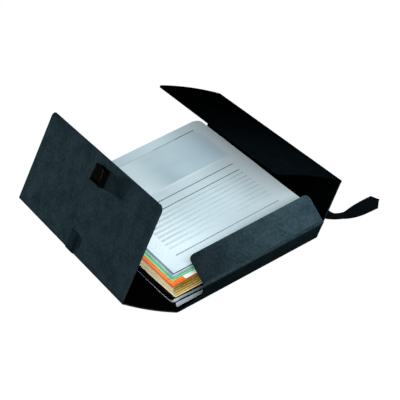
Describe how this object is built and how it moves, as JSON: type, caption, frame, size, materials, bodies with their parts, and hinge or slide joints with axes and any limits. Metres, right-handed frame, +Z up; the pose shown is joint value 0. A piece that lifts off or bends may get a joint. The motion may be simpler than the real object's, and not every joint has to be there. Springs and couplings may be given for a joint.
{
  "type": "document folder",
  "caption": "Extensible pressboard document folder, part open and filled with papers, with two folding side covers, a tuck flap, a strap and a lever clasp.",
  "frame": {"origin": "on the table under the middle of the base, on the underside of the strap", "axes": "+X across the base towards the right cover, +Y along the creases away from the tuck flap, +Z up"},
  "size_m": [0.4272, 0.3549, 0.1794],
  "materials": {
    "board": "satin",
    "lining": "matte",
    "webbing": "matte",
    "clasp_plastic": "gloss",
    "clasp_steel": "satin",
    "clear_wallet": "gloss",
    "dark_paper": "matte",
    "buff_card": "matte",
    "orange_card": "matte",
    "green_card": "matte",
    "white_paper": "matte"
  },
  "bodies": {
    "base": {"base_board": "board", "base_lining": "lining", "strap_under_base": "webbing", "strap_tail": "webbing"},
    "left_spine": {"left_spine": "board", "left_spine_lining": "lining", "strap_on_spine": "webbing"},
    "left_cover": {"left_cover": "board", "left_cover_lining": "lining", "strap_on_cover": "webbing", "strap_anchor_patch": "lining", "clasp_base": "clasp_plastic", "clasp_pin": "clasp_steel", "clasp_rivets": "clasp_steel", "clasp_backplate": "clasp_steel"},
    "clasp_lever": {"clasp_lever": "clasp_plastic"},
    "right_spine": {"right_spine": "board", "right_spine_lining": "lining"},
    "right_cover": {"right_cover": "board", "right_cover_lining": "lining"},
    "front_wall": {"front_wall": "board", "front_wall_lining": "lining"},
    "front_flap": {"front_flap": "board", "front_flap_lining": "lining"},
    "papers": {"wallet": "clear_wallet", "wallet_papers": "white_paper", "dark_file": "dark_paper", "buff_folders": "buff_card", "orange_dividers": "orange_card", "tab_sheet": "white_paper", "green_dividers": "green_card", "white_sheets": "white_paper", "index_sheet": "white_paper"}
  },
  "joints": [
    {"name": "left_spine_crease", "type": "hinge", "parent": "base", "child": "left_spine", "pos_m": [-0.119, 0, 0.0024], "axis": [0, -1, 0], "range_deg": [-49, 33]},
    {"name": "left_cover_crease", "type": "hinge", "parent": "left_spine", "child": "left_cover", "pos_m": [-0.19298, 0, 0.06514], "axis": [0, -1, 0], "range_deg": [-1.5, 88]},
    {"name": "clasp_lever_turn", "type": "hinge", "parent": "left_cover", "child": "clasp_lever", "pos_m": [-0.12832, -0.0163, 0.15848], "axis": [0, -1, 0], "range_deg": [-7, 68]},
    {"name": "right_spine_crease", "type": "hinge", "parent": "base", "child": "right_spine", "pos_m": [0.119, 0, 0.0024], "axis": [0, 1, 0], "range_deg": [-36.5, 30]},
    {"name": "right_cover_crease", "type": "hinge", "parent": "right_spine", "child": "right_cover", "pos_m": [0.17269, 0, 0.07339], "axis": [0, 1, 0], "range_deg": [-3, 94]},
    {"name": "front_wall_crease", "type": "hinge", "parent": "base", "child": "front_wall", "pos_m": [0, -0.164, 0.0024], "axis": [1, 0, 0], "range_deg": [-5, 58]},
    {"name": "front_flap_crease", "type": "hinge", "parent": "front_wall", "child": "front_flap", "pos_m": [0, -0.19003, 0.04439], "axis": [1, 0, 0], "range_deg": [-12, 76]},
    {"name": "papers_lift_out", "type": "slide", "parent": "base", "child": "papers", "axis": [0, 1, 0], "range_m": [0, 0.25]}
  ]
}
